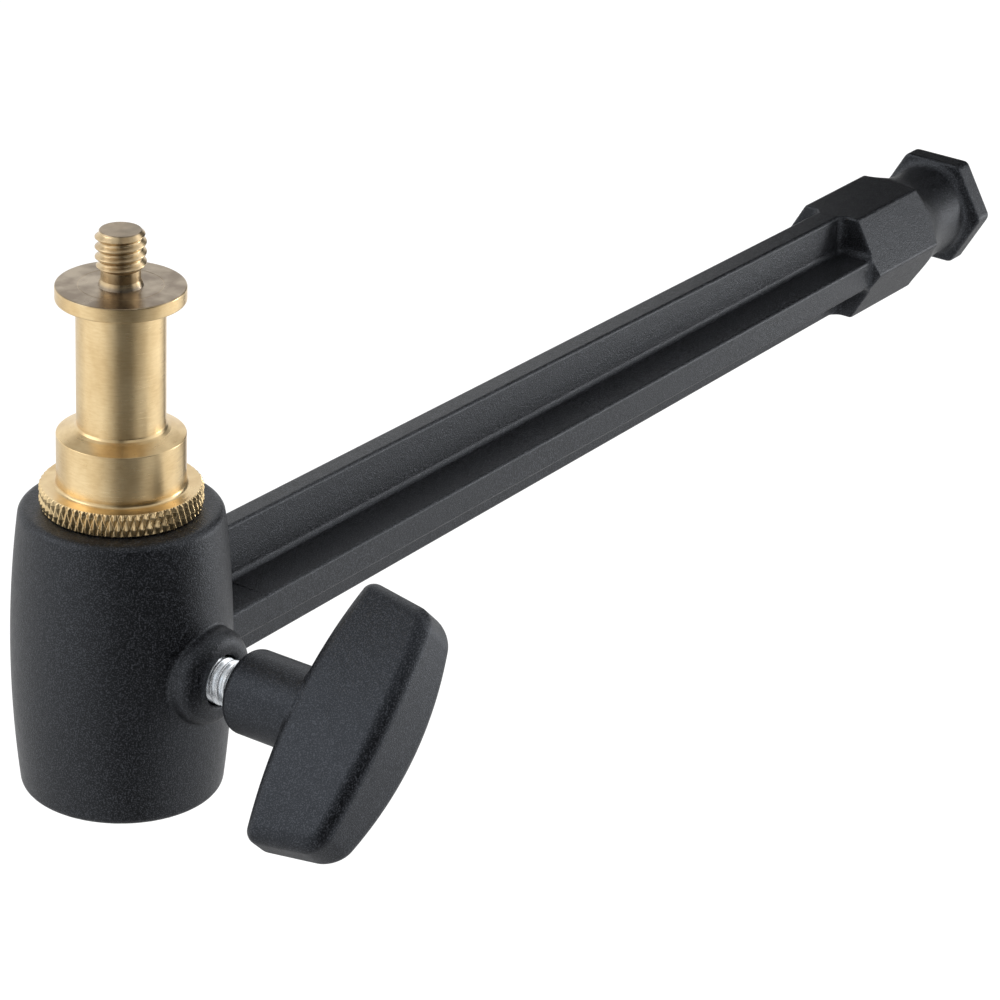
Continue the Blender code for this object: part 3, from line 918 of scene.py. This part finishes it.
@dataclass
class Grain:
    """Adds noise to a material: it tints the colour, changes the gloss and raises a bump."""

    material: Material

    def __post_init__(self) -> None:
        """Finds the tree, its shader and one set of object coordinates."""
        self.tree = self.material.node_tree
        self.shader = self.tree.nodes["Principled BSDF"]
        self.coordinates = self.tree.nodes.new("ShaderNodeTexCoord").outputs["Object"]

    def noise(self, stretch: Triple, scale: float, detail: float) -> Socket:
        """Noise over the object, stretched along each axis.

        Args:
            stretch: Factor on each coordinate.
            scale: Grains a metre.
            detail: Octaves.

        Returns:
            A value about 0.5.
        """
        mapping = add_node(self.tree, "Mapping", {"Scale": stretch, "Vector": self.coordinates})
        inputs = {"Scale": scale, "Detail": detail, "Vector": mapping.outputs["Vector"]}
        return add_node(self.tree, "TexNoise", inputs).outputs["Fac"]

    def spread(self, value: Socket, low: float, high: float) -> Socket:
        """Maps 0.3 to 0.7 of a noise value, where most of it lies, onto low to high."""
        return map_range(self.tree, value, (0.3, 0.7), (low, high))

    def mix(self, value: Socket, low: Triple | Socket, high: Triple | Socket) -> Socket:
        """Blends two tones by a value.

        Args:
            value: 0 for the first tone alone, 1 for the second.
            low: The first tone, a colour or another blend.
            high: The second tone.

        Returns:
            The blended tone.
        """
        mix = add_node(self.tree, "Mix", {})
        mix.data_type = "RGBA"
        tones = [(*tone, 1) if isinstance(tone, tuple) else tone for tone in (low, high)]
        fill(self.tree, mix, {"A": tones[0], "B": tones[1], "Factor": value})
        return mix.outputs["Result"]

    def above(self, low: float, high: float) -> Socket:
        """A value that rises from 0 to 1 between two heights, in metres."""
        height = add_node(self.tree, "SeparateXYZ", {"Vector": self.coordinates}).outputs["Z"]
        return map_range(self.tree, height, (low, high), (0.0, 1.0))

    def rings(self, spacing: float) -> Socket:
        """Fine, slightly uneven rings round the spigot's axis, which show on its flat faces.

        Args:
            spacing: From ring to ring, in metres.

        Returns:
            A value that waves from ring to ring.
        """
        axis = (-SOCKET_X * MM, 0, 0)
        mapping = add_node(self.tree, "Mapping", {"Location": axis, "Vector": self.coordinates})
        inputs = {"Scale": math.pi / (10 * spacing), "Distortion": 1.5, "Detail": 1.0}
        wave = add_node(self.tree, "TexWave", {**inputs, "Vector": mapping.outputs["Vector"]})
        wave.wave_type = "RINGS"
        wave.rings_direction = "Z"
        return wave.outputs["Fac"]

    def feed(self, name: str, value: Socket) -> None:
        """Feeds one of the shader's inputs."""
        self.tree.links.new(value, self.shader.inputs[name])

    def bump(self, value: Socket, height: float) -> None:
        """Raises the surface, over any bump that is already there.

        Args:
            value: The relief, from 0 to 1.
            height: How high 1 is, in metres.
        """
        node = add_node(self.tree, "Bump", {"Height": value, "Distance": height, "Strength": 1.0})
        target = self.shader.inputs["Normal"]
        if target.is_linked:
            self.tree.links.new(target.links[0].from_socket, node.inputs["Normal"])
        self.feed("Normal", node.outputs["Normal"])


def matte_black(name: str, tint: Triple, cloud: float, coarse: bool) -> Material:
    """Black with a fine grain in colour and relief, and a faint cloud in the gloss.

    Args:
        name: The material's name.
        tint: Tint of the gloss.
        cloud: Clouds a metre.
        coarse: Whether a coarser relief lies under the fine one.

    Returns:
        The material.
    """
    grain = Grain(Finish(name, (0.006, 0.0065, 0.008), 0.42, gloss_tint=tint).material())
    fine = grain.noise(EVEN, 6000, 1)
    grain.feed("Base Color", grain.mix(grain.spread(fine, -1.7, 1.5), BLACK, BLACK_GRAIN))
    grain.feed("Roughness", grain.spread(grain.noise(EVEN, cloud, 2), 0.39, 0.45))
    if coarse:
        grain.bump(grain.noise(EVEN, 1700, 2), 0.00003)
    grain.bump(fine, 0.00005)
    return grain.material


def powder_coat() -> Material:
    """Matte black powder coat."""
    return matte_black("black_powder_coat", (0.84, 0.9, 1.0), 900, coarse=True)


def nylon() -> Material:
    """Matte black moulded nylon."""
    return matte_black("black_nylon", (0.78, 0.86, 1.0), 700, coarse=False)


def turned_brass() -> Material:
    """Bare brass with turning marks, with a painted dark reflection on the flange's top and the
    stud, which are painted grey-brown.

    Returns:
        The material.
    """
    finish = Finish("turned_brass", (0.80, 0.61, 0.34), 0.30, metallic=1.0, anisotropic=0.5)
    grain = Grain(finish.material())
    marks = grain.noise((0.04, 0.04, 1), 9000, 2)
    patches = grain.spread(grain.noise((1, 1, 0.6), 330, 4), -0.2, 1.2)
    specks = grain.spread(grain.noise((0.2, 0.2, 1), 4200, 2), 0.12, 0.88)
    dull = grain.mix(specks, (0.66, 0.475, 0.245), (0.76, 0.57, 0.305))
    bright = grain.mix(specks, (0.78, 0.59, 0.325), (0.87, 0.68, 0.395))
    plain_brass = grain.mix(patches, dull, bright)
    # painted dark reflection: the flange's top, the stud and, darker still, its tip are painted
    # grey-brown in place of the brass's own tone
    flange = grain.mix(patches, (0.25, 0.195, 0.14), (0.46, 0.385, 0.29))
    stud = grain.mix(patches, (0.48, 0.35, 0.20), (0.80, 0.63, 0.385))
    tip = grain.mix(patches, (0.24, 0.19, 0.13), (0.38, 0.30, 0.21))
    stud = grain.mix(grain.above(*STUD_TIP), stud, tip)
    top = grain.mix(grain.above(*STUD_FOOT), flange, stud)
    grain.feed("Base Color", grain.mix(grain.above(*FLANGE_EDGE), plain_brass, top))
    grain.feed("Roughness", grain.spread(marks, 0.27, 0.33))
    grain.bump(marks, 0.0000013)
    grain.bump(grain.rings(0.00028), 0.000002)
    tangent = add_node(grain.tree, "Tangent", {})
    tangent.direction_type = "RADIAL"
    tangent.axis = "Z"
    grain.feed("Tangent", tangent.outputs["Tangent"])
    return grain.material


def bright_zinc() -> Material:
    """Bright zinc plate on steel, a little cloudy.

    Returns:
        The material.
    """
    grain = Grain(Finish("bright_zinc", (0.88, 0.92, 0.96), 0.24, metallic=0.75).material())
    cloud = grain.noise(EVEN, 1500, 2)
    tone = grain.mix(grain.spread(cloud, 0, 1), (0.86, 0.91, 0.96), (0.96, 0.98, 1.0))
    grain.feed("Base Color", tone)
    grain.feed("Roughness", grain.spread(cloud, 0.20, 0.28))
    return grain.material


def seen_directly(tree: Tree) -> Socket:
    """A value that is 1 for what the camera, a mirror or glass sees, and 0 for light itself.

    Args:
        tree: The tree that the nodes go into.

    Returns:
        The value.
    """
    path = add_node(tree, "LightPath", {})
    value = path.outputs["Is Camera Ray"]
    for name in ("Is Glossy Ray", "Is Transmission Ray"):
        larger = add_node(tree, "Math", {0: value, 1: path.outputs[name]})
        larger.operation = "MAXIMUM"
        value = larger.outputs["Value"]
    return value


def band(value: Array, start: float, full: float, fade: float, end: float) -> Array:
    """Rises evenly from 0 at start to 1 at full, and falls back from fade to end."""
    return ramp(value, start, full) * (1 - ramp(value, fade, end))


@dataclass(frozen=True)
class Veils:
    """The dark things round the photographed part, which its metal and gloss mirror.

    They are black sheets that nothing else sees. Lengths are in metres. Turn is an angle round
    the socket's axis in degrees, 0 on the camera's side and positive anticlockwise from above.
    How much a point covers is a sum or the larger of even ramps in turn, height and reach.
    """

    camera: float
    screen_reach: float = 0.3
    screen_heights: Span = (-0.155, 0.25)
    disc_height: float = -0.15
    ceiling_height: float = 0.42

    @staticmethod
    def about_socket(reach: Array | float, angle: Array, height: Array | float) -> Array:
        """Points, as (row, column, 3), at a reach and an angle round the socket's axis."""
        x = SOCKET_X * MM + reach * np.cos(angle)
        return np.stack(np.broadcast_arrays(x, reach * np.sin(angle), height), axis=-1)

    def level(self, reach: float, rings: int, around: int) -> Turned:
        """Reach, angle and turn of the points of a level round sheet.

        Args:
            reach: Radius of the sheet.
            rings: Points from its middle to its rim.
            around: Points round it, with the first one repeated.

        Returns:
            Three arrays, each as (point round, ring).
        """
        angles = np.radians(np.linspace(0, 360, around))
        reaches, angle = np.meshgrid(np.linspace(0.001, reach, rings), angles)
        return reaches, angle, np.degrees(angle - self.camera + math.pi) % 360 - 180

    def add_screen(self) -> None:
        """A round screen: dark below the camera, fading to the left, faint on both far sides."""
        heights = np.linspace(*self.screen_heights, 28)
        turn, height = np.meshgrid(np.linspace(-180, 180, 121), heights)
        points = self.about_socket(self.screen_reach, np.radians(turn) + self.camera, height)
        upper = ramp(height, -0.095, -0.05)
        fade = 30 + 12 * ramp(height, -0.122, -0.14) + 36 * upper
        front = ramp(turn, -42, 0) * (1 - ramp(turn, fade, fade + 14))
        sides = 0.35 * band(-turn, 96, 112, 150, 170) + 0.5 * band(turn, 98, 118, 148, 168)
        cover = front * (0.68 + 0.3 * upper) + sides * (1 - ramp(height, -0.08, -0.05))
        self.add("front_screen", points, cover)

    def add_disc(self) -> None:
        """A disc under the socket: the part's own shade, darker on the camera's side."""
        reach, angle, turn = self.level(0.30, 24, 49)
        shade = 0.5 * (1 - ramp(reach, 0.14, 0.29))
        front = 0.9 * band(turn, -35, 0, 40, 60) * ramp(reach, 0.03, 0.1)
        points = self.about_socket(reach, angle, self.disc_height)
        self.add("shade_disc", points, np.maximum(shade, front))

    def add_ceiling(self) -> None:
        """A sheet above the part: dim in the middle, with a dark wedge over the camera."""
        reach, angle, turn = self.level(0.62, 32, 73)
        middle = 0.45 * (1 - ramp(reach, 0.3, 0.42))
        front = 0.92 * band(turn, -14, -2, 12, 24) * ramp(reach, 0.04, 0.1)
        left = 0.55 * band(-turn, 95, 120, 165, 178) * (1 - ramp(reach, 0.52, 0.62))
        points = self.about_socket(reach, angle, self.ceiling_height)
        self.add("ceiling", points, np.maximum(np.maximum(middle, front), left))

    def add_panel(self) -> None:
        """A flat panel behind the pin and above it, faded at its left and lower edges."""
        away = np.array([0.7476, 0.5153, 0.4194])
        side = np.array([0.5675, -0.8234, 0.0])
        rise = np.cross(side, away)
        across, up = np.meshgrid(np.linspace(-0.05, 0.14, 20), np.linspace(-0.05, 0.16, 20))
        points = np.array([-0.02, 0, 0.008]) + away * 0.07
        points = points + across[..., None] * side + up[..., None] * rise
        self.add("rear_panel", points, ramp(across, -0.04, -0.004) * ramp(up, -0.046, -0.02))

    @staticmethod
    def add(name: str, points: Array, cover: Array) -> None:
        """Adds a black sheet that only mirror-like surfaces see, thinner where its cover is low.

        Args:
            name: The sheet's name.
            points: Its points as (row, column, 3), in metres.
            cover: How much each point hides, from 0 to 1.
        """
        count, across = cover.shape
        index = np.arange(count * across).reshape(count, across)
        corners = [index[:-1, :-1], index[:-1, 1:], index[1:, 1:], index[1:, :-1]]
        quads = np.stack(corners, axis=-1).reshape(-1, 4)
        mesh = bpy.data.meshes.new(name)
        mesh.from_pydata(points.reshape(-1, 3).tolist(), [], quads.tolist())
        values = mesh.attributes.new("cover", "FLOAT", "POINT").data
        values.foreach_set("value", cover.astype(np.float32).ravel())
        sheet = bpy.data.objects.new(name, mesh)
        bpy.context.scene.collection.objects.link(sheet)
        sheet.visible_camera = False
        sheet.visible_diffuse = False
        sheet.visible_shadow = False
        material = Finish(name, (0.02, 0.02, 0.02), 0.9, specular=0.0).material()
        tree = material.node_tree
        attribute = add_node(tree, "Attribute", {})
        attribute.attribute_name = "cover"
        fill(tree, tree.nodes["Principled BSDF"], {"Alpha": attribute.outputs["Fac"]})
        mesh.materials.append(material)


@dataclass(frozen=True)
class Lamp:
    """A soft square lamp, lengths in metres."""

    name: str
    spot: Triple
    size: float
    power: float
    aim: Triple = (-0.14, 0.0, 0.0)

    def add(self) -> None:
        """Adds the lamp, turned towards its aim."""
        data = bpy.data.lights.new(self.name, "AREA")
        data.shape = "SQUARE"
        data.size = self.size
        data.energy = self.power
        lamp = bpy.data.objects.new(self.name, data)
        lamp.location = self.spot
        lamp.rotation_mode = "QUATERNION"
        way = Vector(self.aim) - Vector(self.spot)
        lamp.rotation_quaternion = way.to_track_quat("-Z", "Y")
        bpy.context.scene.collection.objects.link(lamp)


@dataclass(frozen=True)
class Studio:
    """Camera, lamps, surround, floor and veils.

    The camera stands at an azimuth and an elevation about the target, rolled, all in radians,
    with its distance in millimetres and its focal length in pixels of the square photograph.
    """

    azimuth: float = -0.967363
    elevation: float = 0.432766
    roll: float = 0.037359
    distance: float = 603.207
    focal: float = 4304.637
    target: Triple = (-121.005, 0.0, -9.563)
    sensor: float = 36.0
    photo_width: float = 1000.0
    lamps: tuple[Lamp, ...] = (
        Lamp("key", (-0.95, 0.85, 0.95), 1.0, 4.5),
        Lamp("fill", (0.95, -0.45, 0.6), 1.0, 2.0),
        Lamp("low_fill", (0.62, -0.56, -0.02), 0.2, 1.4),
    )
    surround: Span = (0.85, 1.0)
    floor_height: float = -0.16
    floor_half: float = 6.0
    floor_glow: float = 0.14

    def back(self) -> Vector:
        """Unit vector from the target to the camera."""
        flat, rise = math.cos(self.elevation), math.sin(self.elevation)
        return Vector((math.sin(self.azimuth) * flat, -math.cos(self.azimuth) * flat, rise))

    def add_camera(self) -> None:
        """The photograph's camera, from the fit to the part's edges."""
        data = bpy.data.cameras.new("camera")
        data.sensor_width = self.sensor
        data.lens = self.focal * self.sensor / self.photo_width
        data.clip_start, data.clip_end = 0.05, 20
        camera = bpy.data.objects.new("camera", data)
        bpy.context.scene.collection.objects.link(camera)
        back = self.back()
        right = (-back).cross(Vector((0, 0, 1))).normalized()
        up = right.cross(-back)
        turned = right * math.cos(self.roll) + up * math.sin(self.roll)
        upright = up * math.cos(self.roll) - right * math.sin(self.roll)
        matrix = Matrix((turned, upright, back)).transposed().to_4x4()
        matrix.translation = (Vector(self.target) + back * self.distance) * MM
        camera.matrix_world = matrix
        bpy.context.scene.camera = camera

    def add_world(self) -> None:
        """A white surround, at full strength for the camera, metal and gloss."""
        world = bpy.data.worlds.new("surround")
        bpy.context.scene.world = world
        world.use_nodes = True
        tree = world.node_tree
        level = map_range(tree, seen_directly(tree), (0.0, 1.0), self.surround)
        fill(tree, tree.nodes["Background"], {"Color": (1, 1, 1, 1), "Strength": level})

    def add_floor(self) -> None:
        """A plain pale floor well below the part, which only keeps a soft shadow."""
        mesh = bpy.data.meshes.new("floor")
        half = self.floor_half
        outline = [(-half, -half), (half, -half), (half, half), (-half, half)]
        mesh.from_pydata([(x, y, self.floor_height) for x, y in outline], [], [(0, 1, 2, 3)])
        floor = bpy.data.objects.new("floor", mesh)
        bpy.context.scene.collection.objects.link(floor)
        material = Finish("pale_floor", (0.95, 0.95, 0.95), 0.9, specular=0.0).material()
        tree = material.node_tree
        glow = map_range(tree, seen_directly(tree), (0.0, 1.0), (0.0, self.floor_glow))
        inputs = {"Emission Color": (1, 1, 1, 1), "Emission Strength": glow}
        fill(tree, tree.nodes["Principled BSDF"], inputs)
        mesh.materials.append(material)

    def build(self) -> None:
        """Everything that isn't the part."""
        bpy.context.scene.view_settings.view_transform = "Standard"
        self.add_camera()
        self.add_world()
        for lamp in self.lamps:
            lamp.add()
        self.add_floor()
        back = self.back()
        veils = Veils(camera=math.atan2(back.y, back.x))
        veils.add_screen()
        veils.add_disc()
        veils.add_ceiling()
        veils.add_panel()


@dataclass(frozen=True)
class Piece:
    """One visual body and what it stands for."""

    make: Callable[[], Item]
    node: str
    body: str
    slot: Slot
    material: Callable[[], Material]

    def dress(self) -> None:
        """Builds the body, gives it its material and ties it to the frame."""
        item = self.make()
        item.data.materials.append(self.material())
        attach(item, self.body)
        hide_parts(self.node)


PIECES = (
    Piece(Casting().build, "arm_casting", "arm", Slot.COAT, powder_coat),
    Piece(Spigot().build, "spigot", "spigot", Slot.BRASS, turned_brass),
    Piece(Knob().build, "knob_handle", "knob", Slot.NYLON, nylon),
    Piece(ClampScrew().build, "knob_screw", "knob", Slot.ZINC, bright_zinc),
)


def main() -> None:
    """Loads the frame, dresses it and writes how large it has become."""
    logging.basicConfig(level=logging.INFO)
    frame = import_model()
    for piece in PIECES:
        piece.dress()
    pad = frame["nodes"]["pressure_pad"]
    pad.data.materials.clear()
    pad.data.materials.append(turned_brass())
    Studio().build()


if __name__ == "__main__":
    main()
